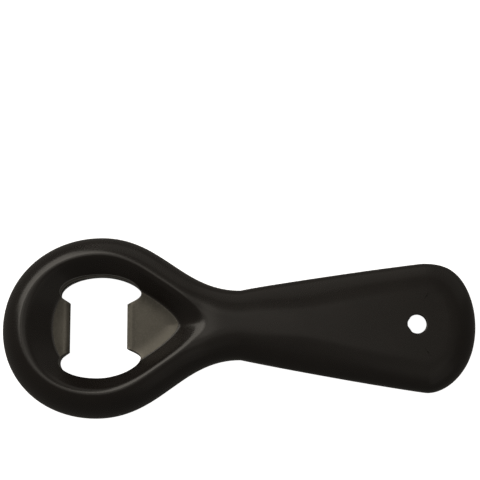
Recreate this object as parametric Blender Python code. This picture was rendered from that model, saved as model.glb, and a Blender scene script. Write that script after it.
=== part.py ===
"""Hand-held crown cap opener: a steel plate with two lips, a rigid core moulded round it, and a satin skin
over the core.

The head lies at -X, the handle at +X, and the object rests on its back on z = 0. The body is a set of
grids of points: a rounded shoulder that runs in from the outline, a top that ends on the crest of the
head ring or on the handle's centre line, and a funnel from the crest down to the plate. The front and the
back have the same plan. The skin's two faces and the core's face are the same grids at three insets.
Everything is worked out in millimetres, for the half with y above 0, and then mirrored.
"""

import math

import bmesh
import bpy
import numpy as np

MM = 0.001
FRONT = 1
BACK = -1

# Plan of the outline's upper half, as Bezier segments of (x, y), from the head's end to the handle's end.
LENGTH = 150.0
HEAD_HALF = 28.8
NECK_HALF = 11.0
HANDLE_HALF = 20.8
OUTLINE = (
    ((0.0, 0.0), (0.0, 16.65), (13.4, HEAD_HALF), (30.6, HEAD_HALF)),
    ((30.6, HEAD_HALF), (50.5, HEAD_HALF), (56.8, NECK_HALF - 0.1), (75.2, NECK_HALF)),
    ((75.2, NECK_HALF), (92.0, 14.6), (131.8, HANDLE_HALF), (133.9, HANDLE_HALF)),
    ((133.9, HANDLE_HALF), (144.6, HANDLE_HALF), (LENGTH, 10.7), (LENGTH, 0.0)),
)

# The crest follows the outline round the head, then closes to a rounded tip that faces the handle.
CREST_TIP_X = 65.5
CREST_TIP_HANDLE = 4.0

# The crest dips where its two sides meet, and the neck rises behind it.
TIP_DIP = 0.6
TIP_DIP_X = 62.5
TIP_DIP_LONG = 4.0
TIP_DIP_WIDE = 9.0

# The funnel's foot on the plate: a smaller teardrop.
FOOT_HALF = 15.6
FOOT = (
    ((16.35, 0.0), (16.35, 7.6), (20.5, FOOT_HALF), (31.0, FOOT_HALF)),
    ((31.0, FOOT_HALF), (38.5, FOOT_HALF), (55.8, 4.4), (55.8, 0.0)),
)

# The shoulder's width in from the outline, and its squareness (2 is an ellipse), at places along the body.
SHOULDER_WIDTH = (
    (0.0, 6.8),
    (56.0, 6.8),
    (76.0, 9.8),
    (96.0, 11.2),
    (114.0, 11.0),
    (130.0, 11.0),
    (LENGTH, 9.8),
)
SHOULDER_POWER = ((0.0, 1.62), (56.0, 1.62), (76.0, 2.0), (96.0, 1.8), (120.0, 2.0), (LENGTH, 2.1))

# Side view as knots of (x, z, slope): the head leans up to the neck, and the handle leans back down.
HEAD_SLOPE = 0.085
HANDLE_SLOPE = -0.115
PARTING_LINE = (
    (0.0, 7.4, HEAD_SLOPE),
    (56.0, 12.16, HEAD_SLOPE),
    (84.0, 11.9, HANDLE_SLOPE),
    (LENGTH, 4.8, -0.09),
)
FRONT_LINE = (
    (0.0, 15.2, HEAD_SLOPE),
    (56.0, 19.96, HEAD_SLOPE),
    (84.0, 18.5, HANDLE_SLOPE),
    (LENGTH, 10.9, -0.11),
)
BACK_LINE = (
    (0.0, -1.2, HEAD_SLOPE),
    (56.0, 3.56, HEAD_SLOPE),
    (84.0, 4.6, -0.1),
    (116.0, 0.0, 0.0),
    (LENGTH, 0.0, 0.0),
)
CROWN = 0.8
CROWN_STARTS_X = 64.0
CROWN_FULL_X = 95.0

# The handle's end leans a little towards +Y.
END_LEAN = 1.25
END_LEAN_FROM_X = 134.0
END_LEAN_TO_X = 147.0

# Hanging hole: it tapers from the back, and is narrowest at the front.
HOLE_X = 130.3
HOLE_RADIUS = {FRONT: 2.95, BACK: 5.0}
HOLE_EDGE = 0.5

# The opening in the plate, upper half: left lip, left lobe corner, top of the lobe, right corner, right lip.
LIP_LEFT = (21.5, 7.8)
LIP_RIGHT = (39.7, 7.0)
LOBE_LEFT = (18.3, 11.0)
LOBE_RIGHT = (44.1, 10.2)
LOBE_TOP = (31.0, 16.5)
OPENING = (
    (LIP_LEFT, (20.2, 8.7), (18.3, 9.4), LOBE_LEFT),
    (LOBE_LEFT, (18.3, 13.6), (22.6, LOBE_TOP[1]), LOBE_TOP),
    (LOBE_TOP, (38.0, LOBE_TOP[1]), (44.1, 13.2), LOBE_RIGHT),
    (LOBE_RIGHT, (44.1, 8.8), (41.2, 7.9), LIP_RIGHT),
)
OPENING_STEPS = (4, 7, 7, 4)

# Steel plate: it leans with the head, and its rim lies in the core.
PLATE_THICKNESS = 2.5
PLATE_MIDDLE = 7.4
PLATE_RIM_INSET = 5.3
PLATE_TANG_END_X = 74.0
LIP_BAND = 1.1
LIP_BAND_DEPTH = 0.5
ANCHOR_RADIUS = 1.7
ANCHOR_INSET = 8.3
ANCHORS_AT = (0.3, 0.62, 0.98, 1.3)
TANG_ANCHOR_X = 66.0

# Skin and fits.
SKIN = 2.0
GAP = 0.3
SKIN_EDGE = 0.35
FUNNEL_FILLET = 0.1
FUNNEL_CREST = 0.28
FUNNEL_CREST_AT_TIP = 0.42
FUNNEL_SHARE_UNDER_SKIN = 0.47
FILLET_UNDER_SKIN = 0.05

# How far cutters run past a face, and how far the skin's opening is cut from the plate's middle.
CUT_PAST = 1.0
SKIN_CUT_REACH = 6.0

# How finely the grids are cut.
HEAD_STEPS = 18
NECK_STEPS = 6
HANDLE_STEPS = 9
HOLE_STEPS = 8
END_STEPS = 6
SHOULDER_ROWS = 6
TOP_ROWS = 3
FUNNEL_ROWS = 7
EDGE_ROWS = 1
CIRCLE_STEPS = 20
PLATE_STEPS = 16

# Where the groups of columns begin on the outline, in segments of OUTLINE.
NECK_FROM = 1.45
HANDLE_FROM = 1.86
HOLE_FROM = 2.9
END_FROM = 3.12


def bezier(points, t):
    p = np.array(points)
    t = np.asarray(t, float)[..., None]
    s = 1.0 - t
    return s**3 * p[0] + 3 * s**2 * t * p[1] + 3 * s * t**2 * p[2] + t**3 * p[3]


def bezier_direction(points, t):
    p = np.array(points)
    t = np.asarray(t, float)[..., None]
    s = 1.0 - t
    along = s**2 * (p[1] - p[0]) + 2 * s * t * (p[2] - p[1]) + t**2 * (p[3] - p[2])
    return along / np.linalg.norm(along, axis=-1, keepdims=True)


def on_path(path, s, what=bezier):
    """Points of a chain of Beziers at each s, which counts segments."""
    s = np.asarray(s, float)
    index = np.clip(np.floor(s).astype(int), 0, len(path) - 1)
    found = np.array([what(path[i], t - i) for i, t in zip(index, s)])
    return found.reshape(len(s), 2)


def inward(s):
    """Unit normals that point into the outline. Where two segments meet, the mean of both."""
    step = np.where((s > 0.0) & (s < len(OUTLINE)), 1e-4, 0.0)
    before = on_path(OUTLINE, s - step, bezier_direction)
    after = on_path(OUTLINE, s + step, bezier_direction)
    along = before + after
    normal = np.stack([along[:, 1], -along[:, 0]], axis=1)
    return normal / np.linalg.norm(normal, axis=1, keepdims=True)


def at_x(table, x):
    """A quantity given as (x, value) pairs, blended without corners."""
    places = [row[0] for row in table]
    values = [row[1] for row in table]
    share = np.interp(x, places, range(len(places)))
    step = np.floor(share)
    eased = step + (share - step) ** 2 * (3 - 2 * (share - step))
    return np.interp(eased, range(len(values)), values)


def height_line(knots, x):
    """Height at each x of a line through knots of (x, z, slope)."""
    x = np.asarray(x, float)
    z = np.empty_like(x)
    for (x0, z0, m0), (x1, z1, m1) in zip(knots, knots[1:]):
        here = (x >= x0) & (x <= x1)
        t = (x[here] - x0) / (x1 - x0)
        run = x1 - x0
        z[here] = (
            (2 * t**3 - 3 * t**2 + 1) * z0
            + (t**3 - 2 * t**2 + t) * run * m0
            + (3 * t**2 - 2 * t**3) * z1
            + (t**3 - t**2) * run * m1
        )
    return z


def crown(x, y):
    """The handle's top is slightly domed from side to side."""
    half = np.interp(x, (75.2, 133.9, LENGTH), (NECK_HALF, HANDLE_HALF, HANDLE_HALF))
    along = np.clip((x - CROWN_STARTS_X) / (CROWN_FULL_X - CROWN_STARTS_X), 0.0, 1.0)
    along = along**2 * (3 - 2 * along)
    across = np.cos(0.5 * math.pi * np.clip(np.abs(y) / half, 0.0, 1.0)) ** 2
    return CROWN * along * across


def tip_dip(x, y):
    along = (x - TIP_DIP_X) / TIP_DIP_LONG
    across = y / TIP_DIP_WIDE
    return TIP_DIP * np.exp(-(along**2) - across**2)


def top_height(side, x, y, inset):
    """Height of the front's or the back's top, with no shoulder and no funnel."""
    if side == FRONT:
        return height_line(FRONT_LINE, x) + crown(x, y) - tip_dip(x, y) - inset
    return np.maximum(height_line(BACK_LINE, x), 0.0) + inset


def plate_height(side, x, clearance):
    """Height of the plate's face, plus a clearance away from it."""
    return PLATE_MIDDLE + HEAD_SLOPE * x + side * (0.5 * PLATE_THICKNESS + clearance)


def with_height(plan, z):
    return np.concatenate([plan, z[..., None]], axis=-1)


def body_height(side, plan, rise, inset):
    """Height of a shoulder or top point. rise runs from 0 on the parting line to 1 on the top."""
    x, y = plan[..., 0], plan[..., 1]
    parting = height_line(PARTING_LINE, x)
    return parting + (top_height(side, x, y, inset) - parting) * rise


def spread(start, stop, steps):
    return np.linspace(start, stop, steps + 1)


def outline_columns():
    """Places on the outline of every column, and the index at which each group of columns begins."""
    groups = (
        spread(0.0, 1.0, HEAD_STEPS - HEAD_STEPS // 3)[:-1],
        spread(1.0, NECK_FROM, HEAD_STEPS // 3)[:-1],
        spread(NECK_FROM, HANDLE_FROM, NECK_STEPS)[:-1],
        spread(HANDLE_FROM, 2.0, 2)[:-1],
        spread(2.0, HOLE_FROM, HANDLE_STEPS - 2)[:-1],
        spread(HOLE_FROM, 3.0, HOLE_STEPS // 2)[:-1],
        spread(3.0, END_FROM, HOLE_STEPS // 2)[:-1],
        spread(END_FROM, 4.0, END_STEPS),
    )
    return np.concatenate(groups)


def column_indices():
    neck = HEAD_STEPS
    tip = neck + NECK_STEPS
    hole = tip + HANDLE_STEPS
    end = hole + HOLE_STEPS
    return neck, tip, hole, end, end + END_STEPS


def shoulder_width(x):
    return at_x(SHOULDER_WIDTH, x)


def shoulder_foot(s):
    """The line where the shoulder reaches the top."""
    edge = on_path(OUTLINE, s)
    return edge + inward(s) * shoulder_width(edge[:, 0])[:, None]


def inner_line(side, s, inset):
    """Where each column ends: on the crest, on the centre line, or round the hanging hole."""
    neck, tip, hole, end, last = column_indices()
    line = shoulder_foot(s)
    start = line[neck]
    along = line[neck] - line[neck - 1]
    along = along / np.linalg.norm(along)
    run = np.linalg.norm(start - np.array((CREST_TIP_X, 0.0)))
    closing = (start, start + along * run * 0.4, (CREST_TIP_X, CREST_TIP_HANDLE), (CREST_TIP_X, 0.0))
    line[neck : tip + 1] = bezier(closing, spread(0.0, 1.0, NECK_STEPS))
    radius = HOLE_RADIUS[side] + HOLE_EDGE + inset
    line[tip : hole + 1, 0] = spread(CREST_TIP_X, HOLE_X - radius, HANDLE_STEPS)
    turn = spread(math.pi, 0.0, HOLE_STEPS)
    line[hole : end + 1, 0] = HOLE_X + radius * np.cos(turn)
    line[hole : end + 1, 1] = radius * np.sin(turn)
    line[end:, 0] = spread(HOLE_X + radius, line[last, 0], END_STEPS)
    line[tip : hole + 1, 1] = 0.0
    line[end:, 1] = 0.0
    return line


def shoulder_grid(side, s, inset):
    edge = on_path(OUTLINE, s)
    normal = inward(s)
    width = shoulder_width(edge[:, 0])
    power = at_x(SHOULDER_POWER, edge[:, 0])
    rows = []
    for turn in spread(0.0, 0.5 * math.pi, SHOULDER_ROWS):
        run = 1.0 - max(math.cos(turn), 0.0) ** (2.0 / power)
        rise = math.sin(turn) ** (2.0 / power)
        plan = edge + normal * (inset + (width - inset) * run)[:, None]
        rows.append(with_height(plan, body_height(side, plan, rise, inset)))
    return np.array(rows)


def top_grid(side, s, inset):
    start = shoulder_foot(s)
    stop = inner_line(side, s, inset)
    rows = []
    for share in spread(0.0, 1.0, TOP_ROWS):
        plan = start + (stop - start) * share
        rows.append(with_height(plan, body_height(side, plan, 1.0, inset)))
    return np.array(rows)


def foot_line():
    """The funnel's foot, one point for each column of the head and neck."""
    neck, tip = column_indices()[:2]
    places = np.concatenate([spread(0.0, 1.0, tip // 2)[:-1], spread(1.0, 2.0, tip - tip // 2)])
    return on_path(FOOT, places)


def crest_rounding():
    """The share of each column's funnel wall that the round crest takes. It is wider at the tip."""
    neck, tip = column_indices()[:2]
    towards_tip = np.clip((np.arange(tip + 1) - neck) / (tip - neck), 0.0, 1.0)
    towards_tip = towards_tip**2 * (3 - 2 * towards_tip)
    return FUNNEL_CREST + (FUNNEL_CREST_AT_TIP - FUNNEL_CREST) * towards_tip


def funnel_profile(share, fillet, crest):
    """Rise of the funnel wall from its foot, 0, to the crest, 1, with a fillet at the foot and a round crest."""
    steepest = 1.0 / (1.0 - 0.5 * fillet - 0.5 * crest)
    low = 0.5 * steepest * share**2 / fillet
    high = 1.0 - 0.5 * steepest * (1.0 - share) ** 2 / crest
    straight = steepest * (share - 0.5 * fillet)
    return np.where(share < fillet, low, np.where(share > 1.0 - crest, high, straight))


def funnel_grid(side, s, inset):
    """From the crest down to the plate. Under the skin the wall stands further out."""
    tip = column_indices()[1]
    crest = inner_line(side, s, inset)[: tip + 1]
    foot = foot_line()
    share_out = FUNNEL_SHARE_UNDER_SKIN * inset / SKIN
    foot = foot + (crest - foot) * share_out
    lift = SKIN_EDGE if inset == 0 else 0.0
    fillet = FUNNEL_FILLET if inset == 0 else FILLET_UNDER_SKIN
    rows = []
    for share in spread(1.0, 0.0, FUNNEL_ROWS):
        plan = foot + (crest - foot) * share
        low = plate_height(side, plan[:, 0], GAP + lift)
        high = top_height(side, plan[:, 0], plan[:, 1], inset)
        rise = funnel_profile(share, fillet, crest_rounding())
        rows.append(with_height(plan, low + (high - low) * rise))
    return np.array(rows)


def hole_grid(s, inset):
    """The wall of the hanging hole from front to back, with a rounded edge at both."""
    hole, end = column_indices()[2:4]
    rims = {}
    for side in (FRONT, BACK):
        rim = inner_line(side, s, inset)[hole : end + 1]
        outer = rim - (HOLE_X, 0.0)
        unit = outer / np.linalg.norm(outer, axis=1, keepdims=True)
        rims[side] = []
        for turn in spread(0.0, 0.5 * math.pi, EDGE_ROWS):
            plan = rim - unit * HOLE_EDGE * math.sin(turn)
            z = top_height(side, plan[:, 0], plan[:, 1], inset)
            rims[side].append(with_height(plan, z - side * HOLE_EDGE * (1.0 - math.cos(turn))))
    return np.array(rims[FRONT] + rims[BACK][::-1])


def skin_edge_grid(side, s):
    """The thin edge of the skin at the funnel's foot, and the flat ring behind it that faces the plate."""
    top = funnel_grid(side, s, 0.0)[-1]
    under = funnel_grid(side, s, SKIN)[-1]
    low = top.copy()
    low[:, 2] = plate_height(side, low[:, 0], GAP)
    return np.array([top, low, under])


def mirrored(grid):
    return grid * (1.0, -1.0, 1.0)


def mesh_of(name, grids, material):
    """One closed mesh from grids that share their border points. Points that coincide are one."""
    index = {}
    points = []
    faces = []
    for grid in list(grids) + [mirrored(g) for g in grids]:
        keys = np.round(grid, 4) + 0.0
        numbers = np.empty(grid.shape[:2], int)
        for i, j in np.ndindex(*grid.shape[:2]):
            key = tuple(keys[i, j])
            if key not in index:
                index[key] = len(points)
                points.append(tuple(c * MM for c in to_frame(grid[i, j])))
            numbers[i, j] = index[key]
        for i, j in np.ndindex(grid.shape[0] - 1, grid.shape[1] - 1):
            corners = (numbers[i, j], numbers[i, j + 1], numbers[i + 1, j + 1], numbers[i + 1, j])
            corners = list(dict.fromkeys(int(c) for c in corners))
            if len(corners) > 2:
                faces.append(corners)
    mesh = bpy.data.meshes.new(name)
    mesh.from_pydata(points, [], faces)
    return add_object(name, mesh, material)


def to_frame(point):
    """From the drawing, which starts at the head's end, to the frame, whose origin is under the middle."""
    share = min(max((point[0] - END_LEAN_FROM_X) / (END_LEAN_TO_X - END_LEAN_FROM_X), 0.0), 1.0)
    lean = END_LEAN * share**2 * (3 - 2 * share)
    return (point[0] - 0.5 * LENGTH, point[1] + lean, point[2])


def add_object(name, mesh, material):
    tidy = bmesh.new()
    tidy.from_mesh(mesh)
    bmesh.ops.recalc_face_normals(tidy, faces=tidy.faces)
    if tidy.calc_volume(signed=True) < 0.0:
        bmesh.ops.reverse_faces(tidy, faces=tidy.faces)
    for face in tidy.faces:
        face.smooth = True
    tidy.to_mesh(mesh)
    tidy.free()
    obj = bpy.data.objects.new(name, mesh)
    bpy.context.scene.collection.objects.link(obj)
    if material is not None:
        mesh.materials.append(material)
    return obj


def prism(name, outline, low, high, material=None):
    """A slab with the given plan, which leans with the head. low and high are heights above its middle."""
    flat = [tuple(p) for p in outline]
    count = len(flat)
    points = []
    for level in (low, high):
        for x, y in flat:
            z = PLATE_MIDDLE + HEAD_SLOPE * x + level
            points.append(tuple(c * MM for c in to_frame((x, y, z))))
    faces = [list(range(count)), list(range(count, 2 * count))]
    for i in range(count):
        j = (i + 1) % count
        faces.append([i, j, count + j, count + i])
    mesh = bpy.data.meshes.new(name)
    mesh.from_pydata(points, [], faces)
    return add_object(name, mesh, material)


def whole(upper):
    """A closed plan from its upper half, which starts and ends on y = 0 or meets its mirror image there."""
    lower = [(x, -y) for x, y in reversed(upper) if abs(y) > 1e-6]
    return list(upper) + lower


def circle(x, y, radius):
    turns = (2 * math.pi * i / CIRCLE_STEPS for i in range(CIRCLE_STEPS))
    return [(x + radius * math.cos(turn), y + radius * math.sin(turn)) for turn in turns]


def opening_plan():
    """The opening: two straight lips with a rounded lobe above and below them."""
    upper = []
    for curve, steps in zip(OPENING, OPENING_STEPS):
        upper += [tuple(p) for p in bezier(curve, spread(0.0, 1.0, steps))[:-1]]
    upper.append(LIP_RIGHT)
    return whole(upper)


def plate_plan(inset, end_x):
    """The plate's outer edge: the outline set in, cut off square in the neck."""
    s = np.concatenate([spread(0.0, 1.0, PLATE_STEPS)[:-1], spread(1.0, 2.0, PLATE_STEPS)])
    edge = on_path(OUTLINE, s) + inward(s) * inset
    kept = [tuple(p) for p in edge if p[0] < end_x]
    kept.append((end_x, kept[-1][1]))
    return whole(kept)


def anchors():
    """Centres of the anchor holes: four in each side of the rim, and one in the tang."""
    s = np.array(ANCHORS_AT)
    rim = on_path(OUTLINE, s) + inward(s) * ANCHOR_INSET
    return [(x, y) for x, y in rim] + [(x, -y) for x, y in rim] + [(TANG_ANCHOR_X, 0.0)]


def cut(target, cutter):
    cutter.hide_render = True
    cutter.display_type = "WIRE"
    boolean = target.modifiers.new("cut_" + cutter.name, "BOOLEAN")
    boolean.operation = "DIFFERENCE"
    boolean.solver = "EXACT"
    boolean.object = cutter


def lip_cutter(name, lip_x, towards, side):
    """A wedge that takes the corner off one lip on one face of the plate."""
    half = LOBE_TOP[1]
    face = 0.5 * PLATE_THICKNESS
    section = (
        (lip_x - towards * LIP_BAND, face),
        (lip_x + towards * CUT_PAST, face - LIP_BAND_DEPTH * (1.0 + CUT_PAST / LIP_BAND)),
        (lip_x + towards * CUT_PAST, face + CUT_PAST),
        (lip_x - towards * LIP_BAND, face + CUT_PAST),
    )
    points = []
    for y in (-half, half):
        for x, level in section:
            z = PLATE_MIDDLE + HEAD_SLOPE * x + side * level
            points.append(tuple(c * MM for c in to_frame((x, y, z))))
    faces = [[0, 1, 2, 3], [4, 5, 6, 7]] + [[i, (i + 1) % 4, 4 + (i + 1) % 4, 4 + i] for i in range(4)]
    mesh = bpy.data.meshes.new(name)
    mesh.from_pydata(points, [], faces)
    return add_object(name, mesh, None)


def new_material(name, color, roughness, metallic):
    material = bpy.data.materials.new(name)
    material.use_nodes = True
    shader = material.node_tree.nodes["Principled BSDF"]
    shader.inputs["Base Color"].default_value = (*color, 1.0)
    shader.inputs["Roughness"].default_value = roughness
    shader.inputs["Metallic"].default_value = metallic
    return material


def body_grids(s, inset):
    """The front and the back of the body at one inset, from the parting line to the hole and the plate."""
    neck, tip = column_indices()[:2]
    grids = [hole_grid(s, inset)]
    for side in (FRONT, BACK):
        grids.append(shoulder_grid(side, s, inset))
        grids.append(top_grid(side, s, inset)[:, neck:])
        grids.append(funnel_grid(side, s, inset))
    return grids


def build_skin(s):
    grids = body_grids(s, 0.0) + body_grids(s, SKIN)
    for side in (FRONT, BACK):
        grids.append(skin_edge_grid(side, s))
    skin = mesh_of("grip_skin", grids, new_material("satin_skin", (0.012, 0.011, 0.010), 0.42, 0.0))
    cut(skin, prism("skin_opening_cutter", opening_plan(), -SKIN_CUT_REACH, SKIN_CUT_REACH))


def build_core(s):
    inset = SKIN + GAP
    waist = [funnel_grid(side, s, inset)[-1] for side in (FRONT, BACK)]
    grids = body_grids(s, inset) + [np.array(waist)]
    core = mesh_of("handle_core", grids, new_material("core_nylon", (0.03, 0.03, 0.032), 0.6, 0.0))
    half = 0.5 * PLATE_THICKNESS + GAP
    slot = prism("slot_cutter", plate_plan(PLATE_RIM_INSET - GAP, PLATE_TANG_END_X + GAP), -half, half)
    for number, (x, y) in enumerate(anchors()):
        post = prism(f"post_{number}", circle(x, y, ANCHOR_RADIUS - GAP), -half - CUT_PAST, half + CUT_PAST)
        cut(slot, post)
    cut(core, slot)


def build_plate():
    half = 0.5 * PLATE_THICKNESS
    steel = new_material("black_steel", (0.06, 0.056, 0.05), 0.5, 0.9)
    plate = prism("opener_plate", plate_plan(PLATE_RIM_INSET, PLATE_TANG_END_X), -half, half, steel)
    cut(plate, prism("plate_opening_cutter", opening_plan(), -half - CUT_PAST, half + CUT_PAST))
    for number, (x, y) in enumerate(anchors()):
        cut(plate, prism(f"anchor_{number}", circle(x, y, ANCHOR_RADIUS), -half - CUT_PAST, half + CUT_PAST))
    for side in (FRONT, BACK):
        for name, lip_x, towards in (("left", LIP_LEFT[0], 1.0), ("right", LIP_RIGHT[0], -1.0)):
            cut(plate, lip_cutter(f"lip_{name}_{side}", lip_x, towards, side))


def main():
    for obj in list(bpy.data.objects):
        bpy.data.objects.remove(obj, do_unlink=True)
    s = outline_columns()
    build_plate()
    build_core(s)
    build_skin(s)


main()
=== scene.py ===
"""Looks for a hand-held crown cap opener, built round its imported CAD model.

The skin and the steel plate get finer meshes, with rounded edges, a dished margin on the plate and coined
bands on its lips. The core keeps its CAD mesh and gets a new material. The drawing is in millimetres: x runs
from the head's end to the handle's end, and z is height above the floor. drawn_to_frame() puts it in the box
of the CAD skin.
"""

import math

import bmesh
import bpy
import numpy as np
from mathutils import Matrix, Vector
from mathutils.geometry import delaunay_2d_cdt


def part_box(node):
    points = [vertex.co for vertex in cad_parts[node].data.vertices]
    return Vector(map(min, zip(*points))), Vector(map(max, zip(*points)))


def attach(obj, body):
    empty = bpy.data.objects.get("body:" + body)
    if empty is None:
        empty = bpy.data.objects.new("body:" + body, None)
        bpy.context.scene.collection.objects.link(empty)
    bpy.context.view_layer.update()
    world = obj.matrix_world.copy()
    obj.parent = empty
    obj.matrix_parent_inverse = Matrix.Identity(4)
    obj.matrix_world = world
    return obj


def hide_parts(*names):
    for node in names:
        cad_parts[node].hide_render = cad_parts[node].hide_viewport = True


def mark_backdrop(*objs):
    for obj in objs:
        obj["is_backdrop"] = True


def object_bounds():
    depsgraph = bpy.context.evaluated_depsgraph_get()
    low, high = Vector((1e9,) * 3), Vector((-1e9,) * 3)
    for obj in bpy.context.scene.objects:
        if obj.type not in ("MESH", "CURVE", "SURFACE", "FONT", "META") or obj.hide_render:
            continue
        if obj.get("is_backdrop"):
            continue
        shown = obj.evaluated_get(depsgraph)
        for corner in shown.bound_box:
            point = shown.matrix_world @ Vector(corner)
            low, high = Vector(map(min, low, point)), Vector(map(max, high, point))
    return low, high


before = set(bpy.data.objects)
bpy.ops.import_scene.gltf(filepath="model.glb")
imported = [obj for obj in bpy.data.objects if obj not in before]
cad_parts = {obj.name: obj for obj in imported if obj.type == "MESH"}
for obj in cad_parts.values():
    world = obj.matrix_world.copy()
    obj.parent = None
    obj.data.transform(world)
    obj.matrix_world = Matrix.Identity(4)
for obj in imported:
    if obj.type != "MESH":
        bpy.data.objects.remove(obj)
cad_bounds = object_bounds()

FRONT = 1
BACK = -1

# Plan of the outline's upper half, as Bezier segments of (x, y), from the head's end to the handle's end.
LENGTH = 150.0
HEAD_HALF = 28.8
NECK_HALF = 11.0
HANDLE_HALF = 20.8
HEAD_X = 30.6
NECK_X = 75.2
HANDLE_X = 133.9
OUTLINE = (
    ((0.0, 0.0), (0.0, 16.65), (13.4, HEAD_HALF), (HEAD_X, HEAD_HALF)),
    ((HEAD_X, HEAD_HALF), (50.5, HEAD_HALF), (56.8, NECK_HALF - 0.1), (NECK_X, NECK_HALF)),
    ((NECK_X, NECK_HALF), (92.0, 14.6), (131.8, HANDLE_HALF), (HANDLE_X, HANDLE_HALF)),
    ((HANDLE_X, HANDLE_HALF), (144.6, HANDLE_HALF), (LENGTH, 10.7), (LENGTH, 0.0)),
)

# The crest follows the outline round the head, then closes to a rounded tip that faces the handle.
CREST_TIP_X = 65.5
CREST_TIP_HANDLE = 4.0
CREST_CLOSING_HANDLE = 0.4

# The crest dips where its two sides meet, and the neck rises behind it.
TIP_DIP = 0.6
TIP_DIP_X = 62.5
TIP_DIP_LONG = 4.0
TIP_DIP_WIDE = 9.0

# The funnel's foot on the plate: a smaller teardrop.
FOOT_HALF = 15.6
FOOT = (
    ((16.35, 0.0), (16.35, 7.6), (20.5, FOOT_HALF), (31.0, FOOT_HALF)),
    ((31.0, FOOT_HALF), (38.5, FOOT_HALF), (55.8, 4.4), (55.8, 0.0)),
)

# The shoulder's width in from the outline, and its squareness (2 is an ellipse), at places along the body.
SHOULDER_WIDTH = (
    (0.0, 6.8),
    (56.0, 6.8),
    (76.0, 9.8),
    (96.0, 11.2),
    (114.0, 11.0),
    (130.0, 11.0),
    (LENGTH, 9.8),
)
SHOULDER_POWER = ((0.0, 1.62), (56.0, 1.62), (76.0, 2.0), (96.0, 1.8), (120.0, 2.0), (LENGTH, 2.1))

# Side view as knots of (x, z, slope): the head leans up to the neck, and the handle leans back down.
HEAD_SLOPE = 0.085
HANDLE_SLOPE = -0.115
PARTING_LINE = (
    (0.0, 7.4, HEAD_SLOPE),
    (56.0, 12.16, HEAD_SLOPE),
    (84.0, 11.9, HANDLE_SLOPE),
    (LENGTH, 4.8, -0.09),
)
FRONT_LINE = (
    (0.0, 15.2, HEAD_SLOPE),
    (56.0, 19.96, HEAD_SLOPE),
    (84.0, 18.5, HANDLE_SLOPE),
    (LENGTH, 10.9, -0.11),
)
BACK_LINE = (
    (0.0, -1.2, HEAD_SLOPE),
    (56.0, 3.56, HEAD_SLOPE),
    (84.0, 4.6, -0.1),
    (116.0, 0.0, 0.0),
    (LENGTH, 0.0, 0.0),
)
CROWN = 0.8
CROWN_STARTS_X = 64.0
CROWN_FULL_X = 95.0

# The handle's end leans a little towards +Y.
END_LEAN = 1.25
END_LEAN_FROM_X = 134.0
END_LEAN_TO_X = 147.0

# Hanging hole: it tapers from the back, and is narrowest at the front. Its back mouth flares a little more
# than the CAD's, which thins the skin there.
HOLE_X = 130.3
HOLE_RADIUS = {FRONT: 2.95, BACK: 6.0}
HOLE_RADIUS_UNDER_SKIN = {FRONT: 2.95, BACK: 5.0}
HOLE_EDGE = 0.5

# The opening in the plate, upper half: left lip, left corner, top of the lobe, right corner, right lip.
LIP_LEFT = (21.5, 7.8)
LIP_RIGHT = (39.7, 7.0)
LOBE_LEFT = (18.3, 11.0)
LOBE_RIGHT = (44.1, 10.2)
LOBE_TOP = (31.0, 16.5)
OPENING = (
    (LIP_LEFT, (20.2, 8.7), (18.3, 9.4), LOBE_LEFT),
    (LOBE_LEFT, (18.3, 13.6), (22.6, LOBE_TOP[1]), LOBE_TOP),
    (LOBE_TOP, (38.0, LOBE_TOP[1]), (44.1, 13.2), LOBE_RIGHT),
    (LOBE_RIGHT, (44.1, 8.8), (41.2, 7.9), LIP_RIGHT),
)
OPENING_STEPS = (12, 24, 24, 12)
LIP_STEPS = 12

# Steel plate: it leans with the head, and its rim lies in the core. Its faces rise towards the skin.
PLATE_THICKNESS = 2.5
PLATE_MIDDLE = 7.4
PLATE_RIM_INSET = 5.3
PLATE_TANG_END_X = 74.0
PLATE_EDGE = 0.2
DISH_WIDTH = 4.2
DISH_RISE = 0.8
DISH_FLAT = 0.5
DISH_FALL = 1.5
RIM_STEPS = 48
FOOT_STEPS = 96

# Coined bands behind the lips, as (lip, which way is behind it, width), each with a low bead at its far edge.
LIP_BANDS = ((LIP_LEFT, -1.0, 1.0), (LIP_RIGHT, 1.0, 1.4))
LIP_BAND_DEPTH = 0.35
LIP_BEAD = 0.07
LIP_BEAD_HALF = 0.35
LIP_BAND_PAST_LIP = 1.0
LIP_BAND_REACH = 6.0
LIP_END_FADE_FROM = 0.5
LIP_END_FADE = 1.2

# The plate's mesh: rings beside the edges that show, and an even lattice between them.
OPENING_RINGS = (0.05, 0.12, 0.2, 0.4, 0.65, 0.9, 1.15, 1.4, 1.7, 2.1)
FOOT_RINGS = (0.0, 0.5, 1.0, 1.6, 2.2, 2.9, 3.6, 4.3)
LATTICE_STEP = 0.8
LATTICE_OFFSET = (0.017, 0.013)
CLEAR_OF_RIM = 0.3
CLEAR_OF_OPENING = 0.04
CLEAR_OF_ANCHOR = 0.15
CLEAR_OF_POINT = 0.04

# Anchor holes in the plate's rim, and one in its tang.
ANCHOR_RADIUS = 1.7
ANCHOR_STEPS = 36
ANCHOR_INSET = 8.3
ANCHORS_AT = (0.3, 0.62, 0.98, 1.3)
TANG_ANCHOR_X = 66.0

# Skin and fits. The skin lies on the plate with no gap that shows.
SKIN = 2.0
FIT = 0.03
SKIN_EDGE = 0.15
FUNNEL_FILLET = 0.1
FILLET_UNDER_SKIN = 0.05
FUNNEL_CREST = 0.28
FUNNEL_CREST_AT_TIP = 0.42
FUNNEL_SHARE_UNDER_SKIN = 0.47
OPENING_CUT_LEVELS = (-5.0, 30.0)
SHARP_ANGLE = 35.0

# How far, in millimetres, the polish of handling reaches from the crest and from the opening's edge.
POLISH_REACH = 1.1

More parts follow.
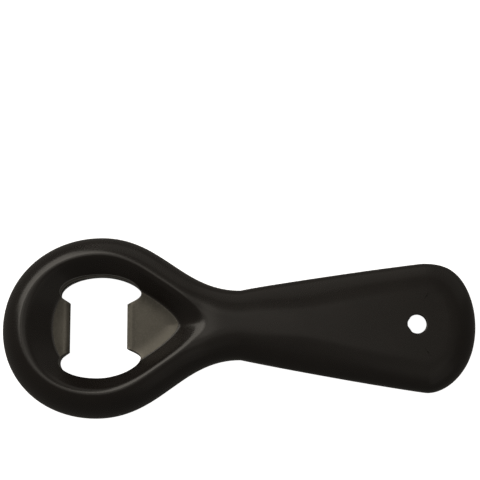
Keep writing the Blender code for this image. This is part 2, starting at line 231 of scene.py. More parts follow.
# How finely the grids are cut: columns along the outline, and rows of the skin's outer and inner face.
HEAD_STEPS = 96
NECK_STEPS = 28
HANDLE_STEPS = 36
HOLE_STEPS = 32
END_STEPS = 22
ROWS_OUTER = {"shoulder": 22, "top": 10, "funnel": 28, "edge": 6}
ROWS_INNER = {"shoulder": 6, "top": 4, "funnel": 8, "edge": 2}

# Where the groups of columns begin. A place on the outline counts its segments.
NECK_FROM = 1.45
HANDLE_FROM = 1.86
HOLE_FROM = 2.9
END_FROM = 3.12
PLACE_NUDGE = 1e-4


# ---------------------------------------------------------------- curves and heights


def bezier(points, t):
    p = np.array(points)
    t = np.asarray(t, float)[..., None]
    s = 1.0 - t
    return s**3 * p[0] + 3 * s**2 * t * p[1] + 3 * s * t**2 * p[2] + t**3 * p[3]


def bezier_direction(points, t):
    p = np.array(points)
    t = np.asarray(t, float)[..., None]
    s = 1.0 - t
    along = s**2 * (p[1] - p[0]) + 2 * s * t * (p[2] - p[1]) + t**2 * (p[3] - p[2])
    return along / np.linalg.norm(along, axis=-1, keepdims=True)


def on_path(path, s, what=bezier):
    """Points of a chain of Beziers at each s, which counts segments."""
    s = np.asarray(s, float)
    index = np.clip(np.floor(s).astype(int), 0, len(path) - 1)
    found = np.array([what(path[i], t - i) for i, t in zip(index, s)])
    return found.reshape(len(s), 2)


def inward(s):
    """Unit normals that point into the outline. Where two segments meet, the mean of both."""
    step = np.where((s > 0.0) & (s < len(OUTLINE)), PLACE_NUDGE, 0.0)
    before = on_path(OUTLINE, s - step, bezier_direction)
    after = on_path(OUTLINE, s + step, bezier_direction)
    along = before + after
    normal = np.stack([along[:, 1], -along[:, 0]], axis=1)
    return normal / np.linalg.norm(normal, axis=1, keepdims=True)


def smooth(share):
    share = np.clip(share, 0.0, 1.0)
    return share**2 * (3 - 2 * share)


def at_x(table, x):
    """A quantity given as (x, value) pairs, blended without corners."""
    places = [row[0] for row in table]
    values = [row[1] for row in table]
    share = np.interp(x, places, range(len(places)))
    step = np.floor(share)
    return np.interp(step + smooth(share - step), range(len(values)), values)


def height_line(knots, x):
    """Height at each x of a line through knots of (x, z, slope)."""
    x = np.asarray(x, float)
    z = np.empty_like(x)
    for (x0, z0, m0), (x1, z1, m1) in zip(knots, knots[1:]):
        here = (x >= x0) & (x <= x1)
        t = (x[here] - x0) / (x1 - x0)
        run = x1 - x0
        z[here] = (
            (2 * t**3 - 3 * t**2 + 1) * z0
            + (t**3 - 2 * t**2 + t) * run * m0
            + (3 * t**2 - 2 * t**3) * z1
            + (t**3 - t**2) * run * m1
        )
    return z


def crown(x, y):
    """The handle's top is slightly domed from side to side."""
    half = np.interp(x, (NECK_X, HANDLE_X, LENGTH), (NECK_HALF, HANDLE_HALF, HANDLE_HALF))
    along = smooth((x - CROWN_STARTS_X) / (CROWN_FULL_X - CROWN_STARTS_X))
    across = np.cos(0.5 * math.pi * np.clip(np.abs(y) / half, 0.0, 1.0)) ** 2
    return CROWN * along * across


def tip_dip(x, y):
    """How far the front sinks round the crest's tip."""
    along = (x - TIP_DIP_X) / TIP_DIP_LONG
    across = y / TIP_DIP_WIDE
    return TIP_DIP * np.exp(-(along**2) - across**2)


def top_height(side, x, y, inset):
    """Height of the front's or the back's top, with no shoulder and no funnel."""
    if side == FRONT:
        return height_line(FRONT_LINE, x) + crown(x, y) - tip_dip(x, y) - inset
    return np.maximum(height_line(BACK_LINE, x), 0.0) + inset


def plate_height(side, x, clearance):
    """Height of the plate's face, plus a clearance away from it."""
    return PLATE_MIDDLE + HEAD_SLOPE * x + side * (0.5 * PLATE_THICKNESS + clearance)


def body_height(side, plan, rise, inset):
    """Height of a shoulder or top point. rise runs from 0 on the parting line to 1 on the top."""
    x, y = plan[..., 0], plan[..., 1]
    parting = height_line(PARTING_LINE, x)
    return parting + (top_height(side, x, y, inset) - parting) * rise


def with_height(plan, z):
    return np.concatenate([plan, z[..., None]], axis=-1)


def spread(start, stop, steps):
    return np.linspace(start, stop, steps + 1)


def spread_to_ends(start, stop, steps):
    """Places that lie closer together towards both ends."""
    return start + (stop - start) * 0.5 * (1.0 - np.cos(spread(0.0, math.pi, steps)))


# ---------------------------------------------------------------- the skin's grids


def outline_columns():
    """Places on the outline of every column."""
    groups = (
        spread(0.0, 1.0, HEAD_STEPS - HEAD_STEPS // 3)[:-1],
        spread(1.0, NECK_FROM, HEAD_STEPS // 3)[:-1],
        spread(NECK_FROM, HANDLE_FROM, NECK_STEPS)[:-1],
        spread(HANDLE_FROM, 2.0, HANDLE_STEPS // 4)[:-1],
        spread(2.0, HOLE_FROM, HANDLE_STEPS - HANDLE_STEPS // 4)[:-1],
        spread(HOLE_FROM, 3.0, HOLE_STEPS // 2)[:-1],
        spread(3.0, END_FROM, HOLE_STEPS // 2)[:-1],
        spread(END_FROM, 4.0, END_STEPS),
    )
    return np.concatenate(groups)


def column_indices():
    neck = HEAD_STEPS
    tip = neck + NECK_STEPS
    hole = tip + HANDLE_STEPS
    end = hole + HOLE_STEPS
    return neck, tip, hole, end, end + END_STEPS


def shoulder_foot(s):
    """The line where the shoulder reaches the top."""
    edge = on_path(OUTLINE, s)
    return edge + inward(s) * at_x(SHOULDER_WIDTH, edge[:, 0])[:, None]


def inner_line(side, s, inset):
    """Where each column ends: on the crest, on the centre line, or round the hanging hole."""
    neck, tip, hole, end, last = column_indices()
    line = shoulder_foot(s)
    start = line[neck]
    along = line[neck] - line[neck - 1]
    along = along / np.linalg.norm(along)
    run = np.linalg.norm(start - np.array((CREST_TIP_X, 0.0)))
    closing = (
        start,
        start + along * run * CREST_CLOSING_HANDLE,
        (CREST_TIP_X, CREST_TIP_HANDLE),
        (CREST_TIP_X, 0.0),
    )
    line[neck : tip + 1] = bezier(closing, spread(0.0, 1.0, NECK_STEPS))
    radii = HOLE_RADIUS if inset == 0 else HOLE_RADIUS_UNDER_SKIN
    radius = radii[side] + HOLE_EDGE + inset
    line[tip : hole + 1, 0] = spread(CREST_TIP_X, HOLE_X - radius, HANDLE_STEPS)
    turn = spread(math.pi, 0.0, HOLE_STEPS)
    line[hole : end + 1, 0] = HOLE_X + radius * np.cos(turn)
    line[hole : end + 1, 1] = radius * np.sin(turn)
    line[end:, 0] = spread(HOLE_X + radius, line[last, 0], END_STEPS)
    line[tip : hole + 1, 1] = 0.0
    line[end:, 1] = 0.0
    return line


def shoulder_grid(side, s, inset, rows):
    edge = on_path(OUTLINE, s)
    normal = inward(s)
    width = at_x(SHOULDER_WIDTH, edge[:, 0])
    power = at_x(SHOULDER_POWER, edge[:, 0])
    found = []
    for turn in spread(0.0, 0.5 * math.pi, rows["shoulder"]):
        run = 1.0 - max(math.cos(turn), 0.0) ** (2.0 / power)
        rise = math.sin(turn) ** (2.0 / power)
        plan = edge + normal * (inset + (width - inset) * run)[:, None]
        found.append(with_height(plan, body_height(side, plan, rise, inset)))
    return np.array(found)


def top_grid(side, s, inset, rows):
    start = shoulder_foot(s)
    stop = inner_line(side, s, inset)
    found = []
    for share in spread(0.0, 1.0, rows["top"]):
        plan = start + (stop - start) * share
        found.append(with_height(plan, body_height(side, plan, 1.0, inset)))
    return np.array(found)


def foot_line():
    """The funnel's foot, one point for each column of the head and neck."""
    tip = column_indices()[1]
    places = np.concatenate([spread(0.0, 1.0, tip // 2)[:-1], spread(1.0, 2.0, tip - tip // 2)])
    return on_path(FOOT, places)


def crest_rounding():
    """The share of each column's funnel wall that the round crest takes. It is wider at the tip."""
    neck, tip = column_indices()[:2]
    towards_tip = smooth((np.arange(tip + 1) - neck) / (tip - neck))
    return FUNNEL_CREST + (FUNNEL_CREST_AT_TIP - FUNNEL_CREST) * towards_tip


def funnel_profile(share, fillet, crest):
    """Rise of the funnel wall from its foot, 0, to the crest, 1. fillet and crest are the rounded shares."""
    steepest = 1.0 / (1.0 - 0.5 * fillet - 0.5 * crest)
    low = 0.5 * steepest * share**2 / fillet
    high = 1.0 - 0.5 * steepest * (1.0 - share) ** 2 / crest
    straight = steepest * (share - 0.5 * fillet)
    return np.where(share < fillet, low, np.where(share > 1.0 - crest, high, straight))


def funnel_grid(side, s, inset, rows):
    """From the crest down to the plate. Under the skin the wall stands further out."""
    tip = column_indices()[1]
    crest = inner_line(side, s, inset)[: tip + 1]
    foot = foot_line()
    foot = foot + (crest - foot) * FUNNEL_SHARE_UNDER_SKIN * inset / SKIN
    lift = SKIN_EDGE if inset == 0 else 0.0
    fillet = FUNNEL_FILLET if inset == 0 else FILLET_UNDER_SKIN
    found = []
    for share in spread_to_ends(1.0, 0.0, rows["funnel"]):
        plan = foot + (crest - foot) * share
        low = plate_height(side, plan[:, 0], DISH_RISE + FIT + lift)
        high = top_height(side, plan[:, 0], plan[:, 1], inset)
        rise = funnel_profile(share, fillet, crest_rounding())
        found.append(with_height(plan, low + (high - low) * rise))
    return np.array(found)


def hole_grid(s, inset, rows):
    """The wall of the hanging hole from front to back, with a rounded edge at both."""
    hole, end = column_indices()[2:4]
    rims = {}
    for side in (FRONT, BACK):
        rim = inner_line(side, s, inset)[hole : end + 1]
        outer = rim - (HOLE_X, 0.0)
        unit = outer / np.linalg.norm(outer, axis=1, keepdims=True)
        rims[side] = []
        for turn in spread(0.0, 0.5 * math.pi, rows["edge"]):
            plan = rim - unit * HOLE_EDGE * math.sin(turn)
            z = top_height(side, plan[:, 0], plan[:, 1], inset)
            rims[side].append(with_height(plan, z - side * HOLE_EDGE * (1.0 - math.cos(turn))))
    return np.array(rims[FRONT] + rims[BACK][::-1])


def skin_edge_grid(side, s):
    """The thin edge of the skin at the funnel's foot, and the flat ring behind it that faces the plate."""
    top = funnel_grid(side, s, 0.0, ROWS_OUTER)[-1]
    under = funnel_grid(side, s, SKIN, ROWS_INNER)[-1]
    low = top.copy()
    low[:, 2] = plate_height(side, low[:, 0], DISH_RISE + FIT)
    return np.array([top, low, under])


def body_grids(s, inset, rows):
    """The front and the back of the body at one inset, from the parting line to the hole and the plate."""
    neck = column_indices()[0]
    grids = [hole_grid(s, inset, rows)]
    for side in (FRONT, BACK):
        grids.append(shoulder_grid(side, s, inset, rows))
        grids.append(top_grid(side, s, inset, rows)[:, neck:])
        grids.append(funnel_grid(side, s, inset, rows))
    return grids


# ---------------------------------------------------------------- meshes


def drawn_to_frame(points):
    """Points of the drawing, in millimetres, put in the frame: the drawing's length is the CAD skin's."""
    low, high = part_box("grip_skin")
    scale = (high.x - low.x) / LENGTH
    middle = 0.5 * (low.y + high.y)
    points = np.array(points, float)
    lean = smooth((points[:, 0] - END_LEAN_FROM_X) / (END_LEAN_TO_X - END_LEAN_FROM_X))
    points[:, 1] += END_LEAN * lean
    return points * scale + np.array((low.x, middle, low.z))


def add_object(name, points, faces, material, cutter=None):
    mesh = bpy.data.meshes.new(name)
    mesh.from_pydata([tuple(p) for p in drawn_to_frame(points)], [], faces)
    tidy = bmesh.new()
    tidy.from_mesh(mesh)
    bmesh.ops.recalc_face_normals(tidy, faces=tidy.faces)
    if tidy.calc_volume(signed=True) < 0.0:
        bmesh.ops.reverse_faces(tidy, faces=tidy.faces)
    tidy.to_mesh(mesh)
    tidy.free()
    if cutter is not None:
        mesh = difference(mesh, cutter)
    mesh.polygons.foreach_set("use_smooth", [True] * len(mesh.polygons))
    mesh.set_sharp_from_angle(angle=math.radians(SHARP_ANGLE))
    mesh.materials.clear()
    mesh.materials.append(material)
    obj = bpy.data.objects.new(name, mesh)
    bpy.context.scene.collection.objects.link(obj)
    return obj


def difference(mesh, cutter):
    """The mesh with the cutter taken out of it. The cutter is removed."""
    body = bpy.data.objects.new(mesh.name, mesh)
    bpy.context.scene.collection.objects.link(body)
    boolean = body.modifiers.new("cut", "BOOLEAN")
    boolean.operation = "DIFFERENCE"
    boolean.solver = "EXACT"
    boolean.object = cutter
    graph = bpy.context.evaluated_depsgraph_get()
    cut = bpy.data.meshes.new_from_object(body.evaluated_get(graph))
    bpy.data.objects.remove(body)
    bpy.data.objects.remove(cutter)
    return cut


def welded(grids):
    """Points and faces of one closed mesh from grids that share their border points."""
    index = {}
    points = []
    faces = []
    for grid in grids:
        keys = np.round(grid, 4) + 0.0
        numbers = np.empty(grid.shape[:2], int)
        for i, j in np.ndindex(*grid.shape[:2]):
            key = tuple(keys[i, j])
            if key not in index:
                index[key] = len(points)
                points.append(tuple(grid[i, j]))
            numbers[i, j] = index[key]
        for i, j in np.ndindex(grid.shape[0] - 1, grid.shape[1] - 1):
            corners = (numbers[i, j], numbers[i, j + 1], numbers[i + 1, j + 1], numbers[i + 1, j])
            corners = list(dict.fromkeys(int(c) for c in corners))
            if len(corners) > 2:
                faces.append(corners)
    return np.array(points), faces


def distance_to(line, points, closed=False):
    """Distance in plan from each point to a line of points."""
    line = np.asarray(line, float)
    start = line if closed else line[:-1]
    stop = np.roll(line, -1, axis=0) if closed else line[1:]
    run = stop - start
    along = np.sum((points[:, None] - start) * run, axis=2) / np.maximum(np.sum(run**2, axis=1), 1e-12)
    nearest = start + np.clip(along, 0.0, 1.0)[..., None] * run
    return np.linalg.norm(points[:, None] - nearest, axis=2).min(axis=1)


def inside(outline, points):
    """Whether each point lies in a closed outline, by counting the sides that a ray crosses."""
    outline = np.asarray(outline, float)
    x0, y0 = outline[:, 0], outline[:, 1]
    x1, y1 = np.roll(x0, -1), np.roll(y0, -1)
    x, y = points[:, 0, None], points[:, 1, None]
    spans = (y0 > y) != (y1 > y)
    rise = np.where(y1 == y0, 1.0, y1 - y0)
    crossing = x0 + (y - y0) * (x1 - x0) / rise
    return (np.sum(spans & (x < crossing), axis=1) % 2) == 1


def set_polish(obj, line):
    """Marks how near each point of the mesh lies, in plan, to a line that is handled and rubbed."""
    points = np.array([tuple(vertex.co) for vertex in obj.data.vertices])
    points[:, 1] = np.abs(points[:, 1])
    line = drawn_to_frame(with_height(line, np.zeros(len(line))))
    near = distance_to(line[:, :2], points[:, :2]) / (POLISH_REACH * 0.001)
    attribute = obj.data.attributes.new("polish", "FLOAT", "POINT")
    attribute.data.foreach_set("value", np.exp(-(near**2)).astype(np.float32))


def opening_cutter():
    """A slab with the opening's plan, which stands on edge through the skin."""
    outline = opening_plan()
    count = len(outline)
    points = np.concatenate([with_height(outline, np.full(count, level)) for level in OPENING_CUT_LEVELS])
    faces = [list(range(count)), list(range(count, 2 * count))]
    for i in range(count):
        j = (i + 1) % count
        faces.append([i, j, count + j, count + i])
    return add_object("opening_cutter", points, faces, None)


def build_skin(material):
    s = outline_columns()
    grids = body_grids(s, 0.0, ROWS_OUTER) + body_grids(s, SKIN, ROWS_INNER)
    grids += [skin_edge_grid(side, s) for side in (FRONT, BACK)]
    grids += [grid * (1.0, -1.0, 1.0) for grid in grids]
    points, faces = welded(grids)
    skin = add_object("satin_grip_skin", points, faces, material, opening_cutter())
    tip = column_indices()[1]
    set_polish(skin, inner_line(FRONT, s, 0.0)[: tip + 1])
    return skin


# ---------------------------------------------------------------- the plate


def whole(upper):
    """A closed plan from its upper half, which starts and ends on y = 0 or meets its mirror image there."""
    lower = [(x, -y) for x, y in reversed(upper) if abs(y) > 1e-6]
    return np.array(list(upper) + lower)


def circle(x, y, radius):
    turns = (2 * math.pi * i / ANCHOR_STEPS for i in range(ANCHOR_STEPS))
    return np.array([(x + radius * math.cos(turn), y + radius * math.sin(turn)) for turn in turns])


def opening_plan():
    """The opening: two straight lips with a rounded lobe above and below them."""
    upper = [(LIP_LEFT[0], y) for y in spread(0.0, LIP_LEFT[1], LIP_STEPS)[:-1]]
    for curve, steps in zip(OPENING, OPENING_STEPS):
        upper += [tuple(p) for p in bezier(curve, spread(0.0, 1.0, steps))[:-1]]
    upper += [(LIP_RIGHT[0], y) for y in spread(LIP_RIGHT[1], 0.0, LIP_STEPS)]
    return whole(upper)


def plate_plan():
    """The plate's outer edge: the outline set in, cut off square in the neck."""
    s = np.concatenate([spread(0.0, 1.0, RIM_STEPS)[:-1], spread(1.0, 2.0, RIM_STEPS)])
    edge = on_path(OUTLINE, s) + inward(s) * PLATE_RIM_INSET
    kept = [tuple(p) for p in edge if p[0] < PLATE_TANG_END_X]
    kept.append((PLATE_TANG_END_X, kept[-1][1]))
    return whole(kept)


def anchors():
    """Centres of the anchor holes: four in each side of the rim, and one in the tang."""
    s = np.array(ANCHORS_AT)
    rim = on_path(OUTLINE, s) + inward(s) * ANCHOR_INSET
    return [(x, y) for x, y in rim] + [(x, -y) for x, y in rim] + [(TANG_ANCHOR_X, 0.0)]


def foot_plan():
    """The line on the plate where the skin ends."""
    return whole([tuple(p) for p in on_path(FOOT, spread(0.0, 2.0, FOOT_STEPS))])


def offset_ring(outline, distance):
    """The outline moved outwards, if distance is positive, point by point."""
    along = np.roll(outline, -1, axis=0) - np.roll(outline, 1, axis=0)
    normal = np.stack([along[:, 1], -along[:, 0]], axis=1)
    normal = normal / np.linalg.norm(normal, axis=1, keepdims=True)
    middle = outline.mean(axis=0)
    outward = np.sign(np.sum(np.sum((outline - middle) * normal, axis=1)))
    return outline + normal * distance * outward


def lip_relief(points):
    """Height change near the lips: a coined band that falls to the lip, with a low bead behind it."""
    change = np.zeros(len(points))
    for (lip_x, lip_y), towards, width in LIP_BANDS:
        behind = (points[:, 0] - lip_x) * towards
        ends = 1.0 - smooth((np.abs(points[:, 1]) - lip_y + LIP_END_FADE_FROM) / LIP_END_FADE)
        near = (behind > -LIP_BAND_PAST_LIP) & (behind < LIP_BAND_REACH)
        band = LIP_BAND_DEPTH * (1.0 - smooth(behind / width))
        bead = LIP_BEAD * np.exp(-(((behind - width - LIP_BEAD_HALF) / LIP_BEAD_HALF) ** 2))
        change += np.where(near, (bead - band) * ends, 0.0)
    return change


def plate_relief(points, opening, foot):
    """Height of the plate's face above its flat, at points of the plan."""
    from_opening = distance_to(opening, points, closed=True)
    into_edge = np.maximum(PLATE_EDGE - from_opening, 0.0)
    rounding = PLATE_EDGE - np.sqrt(np.maximum(PLATE_EDGE**2 - into_edge**2, 0.0))
    from_foot = distance_to(foot, points, closed=True)
    beyond = 1.0 - smooth((from_foot - DISH_FLAT) / DISH_FALL)
    margin = np.where(inside(foot, points), np.clip(1.0 - from_foot / DISH_WIDTH, 0.0, 1.0), beyond)
    return DISH_RISE * margin**2 + lip_relief(points) - rounding


def plate_points(opening, foot, rim, holes):
    """Points of the plate's plan that lie on none of its edges."""
    rings = [offset_ring(opening, distance) for distance in OPENING_RINGS]
    rings += [offset_ring(foot, -distance) for distance in FOOT_RINGS]
    along = np.arange(0.0, PLATE_TANG_END_X, LATTICE_STEP)
    across = np.arange(-HEAD_HALF, HEAD_HALF, LATTICE_STEP)
    x, y = np.meshgrid(along, across)
    rings.append(np.stack([x.ravel(), y.ravel()], axis=1) + LATTICE_OFFSET)
    points = np.concatenate(rings)
    kept = inside(rim, points) & (distance_to(rim, points, closed=True) > CLEAR_OF_RIM)
    kept &= ~inside(opening, points) & (distance_to(opening, points, closed=True) > CLEAR_OF_OPENING)
    for hole in holes:
        kept &= ~inside(hole, points) & (distance_to(hole, points, closed=True) > CLEAR_OF_ANCHOR)
    return thinned(points[kept])


def thinned(points):
    """The points with those dropped that share a small cell with an earlier one."""
    _, first = np.unique(np.round(points / CLEAR_OF_POINT).astype(int), axis=0, return_index=True)
    return points[np.sort(first)]


def triangulated(opening, foot, rim, holes):
    """The plate's plan as points and triangles, with its edges kept and its holes left open."""
    plan = []
    edges = []
    for loop in [rim, opening] + holes:
        first = len(plan)
        plan += [tuple(p) for p in loop]
        edges += [(first + i, first + (i + 1) % len(loop)) for i in range(len(loop))]
    plan += [tuple(p) for p in plate_points(opening, foot, rim, holes)]
    found = delaunay_2d_cdt([Vector(p) for p in plan], edges, [], 0, 1e-5)
    flat = np.array([tuple(p) for p in found[0]])
    triangles = np.array([list(face) for face in found[2]])
    centres = flat[triangles].mean(axis=1)
    kept = inside(rim, centres)
    for hole in [opening] + holes:
        kept &= ~inside(hole, centres)
    return flat, triangles[kept]


def border_edges(triangles):
    """The edges that only one triangle uses."""
    uses = {}
    for a, b, c in triangles:
        for edge in ((a, b), (b, c), (c, a)):
            key = (int(min(edge)), int(max(edge)))
            uses[key] = uses.get(key, 0) + 1
    return [edge for edge, count in uses.items() if count == 1]


def build_plate(material):
    """A sheet with its two faces lifted from one triangulated plan, and walls round every edge."""
    opening = opening_plan()
    foot = foot_plan()
    holes = [circle(x, y, ANCHOR_RADIUS) for x, y in anchors()]
    flat, triangles = triangulated(opening, foot, plate_plan(), holes)
    relief = plate_relief(flat, opening, foot)
    sides = [with_height(flat, plate_height(side, flat[:, 0], 0.0) + side * relief) for side in (FRONT, BACK)]
    points = np.concatenate(sides)
    count = len(flat)
    faces = [[int(corner) for corner in triangle] for triangle in triangles]
    faces += [[int(corner) + count for corner in triangle[::-1]] for triangle in triangles]
    faces += [[a, b, b + count, a + count] for a, b in border_edges(triangles)]
    used = np.unique(np.concatenate([np.array(face) for face in faces]))
    renumber = {int(old): new for new, old in enumerate(used)}
    faces = [[renumber[corner] for corner in face] for face in faces]
    plate = add_object("steel_opener_plate", points[used], faces, material)
    set_polish(plate, opening[opening[:, 1] >= 0.0])
    return plate


# ---------------------------------------------------------------- materials

# Colours of each material's clouds, from dark to pale, then of its grain, and the ends of its roughness.
SKIN_DARK = (0.0100, 0.0078, 0.0066)
SKIN_PALE = (0.0130, 0.0104, 0.0088)
SKIN_GRAIN = (0.0175, 0.0145, 0.0125)
SKIN_ROUGHNESS = (0.24, 0.29)
STEEL_DARK = (0.086, 0.081, 0.070)
STEEL_PALE = (0.108, 0.102, 0.088)
STEEL_GRAIN = (0.165, 0.156, 0.136)
STEEL_RUBBED = (0.17, 0.16, 0.14)
STEEL_METALLIC = 0.85
STEEL_ROUGHNESS = (0.44, 0.52)
NYLON_DARK = (0.022, 0.022, 0.024)
NYLON_PALE = (0.034, 0.034, 0.036)
NYLON_FIBRE = (0.08, 0.08, 0.078)
NYLON_ROUGHNESS = (0.52, 0.66)
FLOOR_DARK = (0.82, 0.82, 0.81)
FLOOR_PALE = (0.86, 0.86, 0.85)


class Nodes:
    """A short way to write a material's nodes."""

    def __init__(self, material):
        material.use_nodes = True
        self.tree = material.node_tree
        self.shader = self.tree.nodes["Principled BSDF"]
        self.place = self.tree.nodes.new("ShaderNodeTexCoord").outputs["Object"]

    def new(self, kind, settings=None, **inputs):
        node = self.tree.nodes.new(kind)
        for name, value in (settings or {}).items():
            setattr(node, name, value)
        for name, value in inputs.items():
            self.join(value, node.inputs[name.replace("_", " ")])
        return node

    def join(self, value, socket):
        if isinstance(value, bpy.types.NodeSocket):
            self.tree.links.new(value, socket)
        else:
            socket.default_value = value

    def noise(self, scale, detail=3.0, roughness=0.55, stretch=(1.0, 1.0, 1.0)):
        mapped = self.new("ShaderNodeMapping", Vector=self.place, Scale=stretch)
        node = self.new("ShaderNodeTexNoise", Vector=mapped.outputs[0], Scale=scale)
        node.inputs["Detail"].default_value = detail
        node.inputs["Roughness"].default_value = roughness
        return node.outputs[0]

    def remap(self, value, low, high, to_low, to_high):
        node = self.new("ShaderNodeMapRange", Value=value)
        for socket, number in zip(node.inputs[1:5], (low, high, to_low, to_high)):
            socket.default_value = number
        return node.outputs[0]

    def math(self, operation, first, second):
        node = self.tree.nodes.new("ShaderNodeMath")
        node.operation = operation
        self.join(first, node.inputs[0])
        self.join(second, node.inputs[1])
        return node.outputs[0]

    def mix(self, share, first, second):
        node = self.tree.nodes.new("ShaderNodeMix")
        node.data_type = "RGBA"
        self.join(share, node.inputs[0])
        self.join((*first, 1.0) if isinstance(first, tuple) else first, node.inputs[6])
        self.join((*second, 1.0) if isinstance(second, tuple) else second, node.inputs[7])
        return node.outputs[2]

    def attribute(self, name):
        return self.new("ShaderNodeAttribute", {"attribute_name": name}).outputs["Fac"]

    def bump(self, height, strength, distance, under=None):
        node = self.new("ShaderNodeBump", Strength=strength, Distance=distance, Height=height)
        if under is not None:
            self.join(under, node.inputs["Normal"])
        return node.outputs[0]


def satin_skin():
    """Soft-touch black skin: a fine even grain, faint cloudiness, and a slight polish on the crest."""
    material = bpy.data.materials.new("satin_skin")
    n = Nodes(material)
    cloud = n.noise(70.0, 3.0)
    grain = n.noise(3200.0, 2.0)
    rub = n.noise(260.0, 4.0, 0.65, (0.25, 1.0, 1.0))
    polish = n.attribute("polish")
    tone = n.mix(n.remap(cloud, 0.35, 0.65, 0.0, 1.0), SKIN_DARK, SKIN_PALE)
    tone = n.mix(n.remap(grain, 0.4, 0.75, 0.0, 0.5), tone, SKIN_GRAIN)
    n.join(tone, n.shader.inputs["Base Color"])
    rough = n.remap(rub, 0.3, 0.7, *SKIN_ROUGHNESS)
    rough = n.math("ADD", rough, n.remap(grain, 0.3, 0.7, -0.02, 0.02))
    rough = n.math("SUBTRACT", rough, n.math("MULTIPLY", polish, 0.05))
    n.join(rough, n.shader.inputs["Roughness"])
    n.shader.inputs["Specular IOR Level"].default_value = 0.5
    wide = n.bump(rub, 0.05, 0.0002)
    n.join(n.bump(grain, 0.12, 0.00003, wide), n.shader.inputs["Normal"])
    return material


def black_steel():
    """Blackened steel sheet: a blasted grain, uneven oxide, and a rubbed lip."""
    material = bpy.data.materials.new("black_steel")
    n = Nodes(material)
    cloud = n.noise(180.0, 4.0)
    grain = n.noise(2400.0, 3.0, 0.6)
    polish = n.attribute("polish")
    tone = n.mix(n.remap(cloud, 0.35, 0.65, 0.0, 1.0), STEEL_DARK, STEEL_PALE)
    tone = n.mix(n.remap(grain, 0.45, 0.7, 0.0, 0.45), tone, STEEL_GRAIN)
    tone = n.mix(n.math("MULTIPLY", polish, 0.25), tone, STEEL_RUBBED)
    n.join(tone, n.shader.inputs["Base Color"])
    n.shader.inputs["Metallic"].default_value = STEEL_METALLIC
    rough = n.remap(cloud, 0.3, 0.7, *STEEL_ROUGHNESS)
    rough = n.math("ADD", rough, n.remap(grain, 0.3, 0.7, -0.05, 0.05))
    n.join(n.math("SUBTRACT", rough, n.math("MULTIPLY", polish, 0.06)), n.shader.inputs["Roughness"])
    n.join(n.bump(grain, 0.3, 0.00005), n.shader.inputs["Normal"])
    return material


def core_nylon():
    """Glass-filled black nylon, matte, with short pale fibres."""
    material = bpy.data.materials.new("core_nylon")
    n = Nodes(material)
    flow = n.noise(120.0, 3.0, 0.5, (0.3, 1.0, 1.0))
    fibre = n.noise(1500.0, 2.0, 0.5, (0.15, 1.0, 1.0))
    tone = n.mix(n.remap(flow, 0.35, 0.65, 0.0, 1.0), NYLON_DARK, NYLON_PALE)
    tone = n.mix(n.remap(fibre, 0.62, 0.75, 0.0, 0.6), tone, NYLON_FIBRE)
    n.join(tone, n.shader.inputs["Base Color"])
    n.join(n.remap(fibre, 0.3, 0.7, *NYLON_ROUGHNESS), n.shader.inputs["Roughness"])
    n.join(n.bump(fibre, 0.2, 0.00005), n.shader.inputs["Normal"])
    return material


# ---------------------------------------------------------------- stage, lights, camera

# The floor glows, so that it looks pale, and lights nothing. All lengths here are in metres.
FLOOR_HALF = 3.0
FLOOR_GLOW = 1.0
FLOOR_BELOW = 0.00005
WORLD_GLOW = 0.127

CAMERA_ELEVATION = 80.0
CAMERA_DISTANCE = 0.4
CAMERA_ROLL = 0.26
VIEW_WIDTH = 0.1510
SENSOR = 36.0
SHIFT_DOWN = 86.8 / 480.0
AIM_ACROSS = 0.00006
CLIP_START = 0.01

# Soft square panels: name, azimuth (0 is the camera's side, 90 the handle's end), elevation, watts.
PANEL_SIZE = 0.6
PANEL_DISTANCE = 0.8
LIGHT_COLOR = (1.0, 0.94, 0.84)
PANELS = (
    ("key_panel", 228.0, 36.0, 2.2),
    ("key_fill_panel", 240.0, 60.0, 0.50),
    ("overhead_panel", 180.0, 80.0, 0.34),
    ("back_panel", 180.0, 60.0, 0.12),
    ("back_rim_panel", 180.0, 12.0, 0.28),
    ("end_rim_panel", 135.0, 12.0, 0.13),
    ("right_back_panel", 120.0, 60.0, 0.05),
    ("right_panel", 60.0, 60.0, 0.09),
    ("front_panel", 45.0, 36.0, 0.13),
)


def point_at(obj, place, target):
    """Puts obj at place, looking at target, with its top towards +Z or, from above, towards +Y."""
    obj.location = place
    obj.rotation_euler = (Vector(target) - Vector(place)).to_track_quat("-Z", "Y").to_euler()


def around(centre, azimuth, elevation, distance):
    """A place round the object. Azimuth 0 is on its -Y side, and 90 on its +X side."""
    turn = math.radians(azimuth)
    lift = math.radians(elevation)
    direction = Vector((math.sin(turn) * math.cos(lift), -math.cos(turn) * math.cos(lift), math.sin(lift)))
    return Vector(centre) + direction * distance


def build_floor(z):
    mesh = bpy.data.meshes.new("floor")
    signs = ((-1, -1), (1, -1), (1, 1), (-1, 1))
    mesh.from_pydata([(x * FLOOR_HALF, y * FLOOR_HALF, z) for x, y in signs], [], [[0, 1, 2, 3]])
    material = bpy.data.materials.new("pale_floor")
    n = Nodes(material)
    n.join(n.mix(n.noise(3.0), FLOOR_DARK, FLOOR_PALE), n.shader.inputs["Base Color"])
    n.shader.inputs["Roughness"].default_value = 0.9
    n.shader.inputs["Emission Color"].default_value = (1.0, 1.0, 1.0, 1.0)
    n.shader.inputs["Emission Strength"].default_value = FLOOR_GLOW
    mesh.materials.append(material)
    floor = bpy.data.objects.new("floor", mesh)
    bpy.context.scene.collection.objects.link(floor)
    floor.visible_glossy = False
    floor.visible_diffuse = False
    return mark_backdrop(floor)


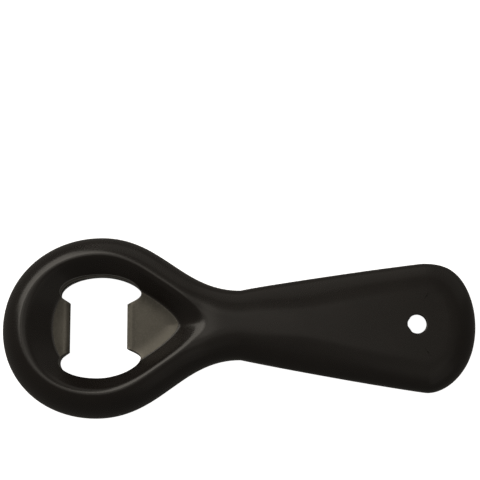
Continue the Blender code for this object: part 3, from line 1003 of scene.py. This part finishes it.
def build_world():
    """Dim and even for the object, and pale where the camera sees past the floor."""
    world = bpy.data.worlds.new("studio")
    bpy.context.scene.world = world
    world.use_nodes = True
    nodes = world.node_tree.nodes
    links = world.node_tree.links
    dim = nodes["Background"]
    dim.inputs["Color"].default_value = (*LIGHT_COLOR, 1.0)
    dim.inputs["Strength"].default_value = WORLD_GLOW
    pale = nodes.new("ShaderNodeBackground")
    seen = nodes.new("ShaderNodeLightPath")
    mix = nodes.new("ShaderNodeMixShader")
    links.new(seen.outputs["Is Camera Ray"], mix.inputs[0])
    links.new(dim.outputs[0], mix.inputs[1])
    links.new(pale.outputs[0], mix.inputs[2])
    links.new(mix.outputs[0], nodes["World Output"].inputs[0])


def build_lights(centre):
    for name, azimuth, elevation, power in PANELS:
        data = bpy.data.lights.new(name, "AREA")
        data.shape = "SQUARE"
        data.size = PANEL_SIZE
        data.energy = power
        data.color = LIGHT_COLOR
        panel = bpy.data.objects.new(name, data)
        bpy.context.scene.collection.objects.link(panel)
        point_at(panel, around(centre, azimuth, elevation, PANEL_DISTANCE), centre)
        panel.visible_camera = False


def build_camera(centre):
    data = bpy.data.cameras.new("camera")
    data.sensor_width = SENSOR
    data.lens = SENSOR * CAMERA_DISTANCE / VIEW_WIDTH
    data.shift_y = SHIFT_DOWN
    data.clip_start = CLIP_START
    camera = bpy.data.objects.new("camera", data)
    bpy.context.scene.collection.objects.link(camera)
    aim = Vector(centre) + Vector((AIM_ACROSS, 0.0, 0.0))
    point_at(camera, around(aim, 0.0, CAMERA_ELEVATION, CAMERA_DISTANCE), aim)
    roll = Matrix.Rotation(math.radians(-CAMERA_ROLL), 3, "Z")
    camera.rotation_euler = (camera.rotation_euler.to_matrix() @ roll).to_euler()
    bpy.context.scene.camera = camera


def main():
    skin = build_skin(satin_skin())
    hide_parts("grip_skin")
    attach(skin, "root")
    plate = build_plate(black_steel())
    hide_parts("opener_plate")
    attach(plate, "root")
    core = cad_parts["handle_core"]
    core.material_slots[0].material = core_nylon()
    low, high = (Vector(corner) for corner in cad_bounds)
    centre = 0.5 * (low + high)
    build_floor(low.z - FLOOR_BELOW)
    build_world()
    build_lights(centre)
    build_camera(centre)
    bpy.context.scene.view_settings.view_transform = "Standard"


main()
